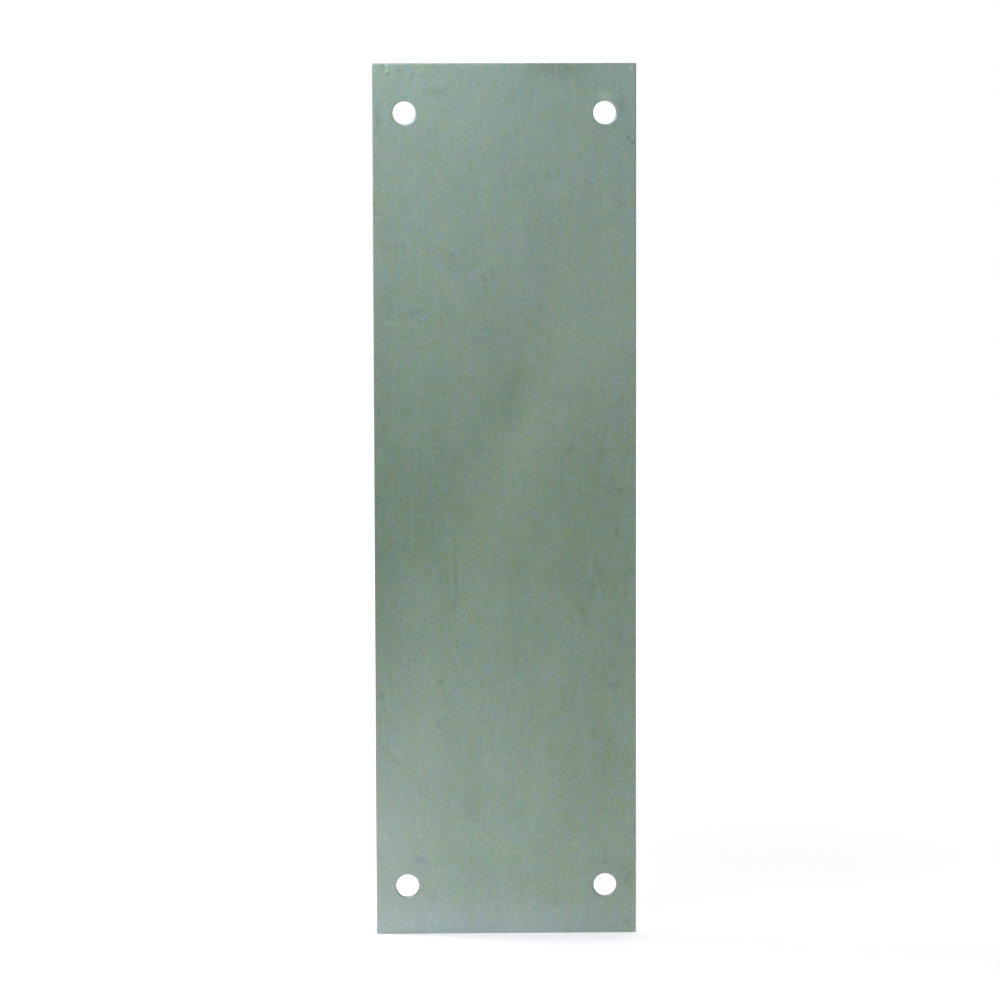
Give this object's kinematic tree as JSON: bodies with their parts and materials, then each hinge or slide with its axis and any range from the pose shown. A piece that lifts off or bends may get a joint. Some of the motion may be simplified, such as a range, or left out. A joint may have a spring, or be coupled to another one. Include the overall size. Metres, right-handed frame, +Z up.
{
  "type": "door finger plate",
  "caption": "Flat oblong door finger plate of satin aluminium sheet, with square eased corners and a plain screw hole near each corner, fixed where hands push a door.",
  "frame": {"origin": "centre of the back face, on the door's surface", "axes": "+Z up the door along the plate's length, +Y into the door, -Y out of the front face, +X to the right as seen from the front"},
  "size_m": [0.075, 0.0015, 0.25],
  "materials": {
    "plate_metal": "satin"
  },
  "bodies": {
    "root": {"finger_plate": "plate_metal"}
  },
  "joints": []
}
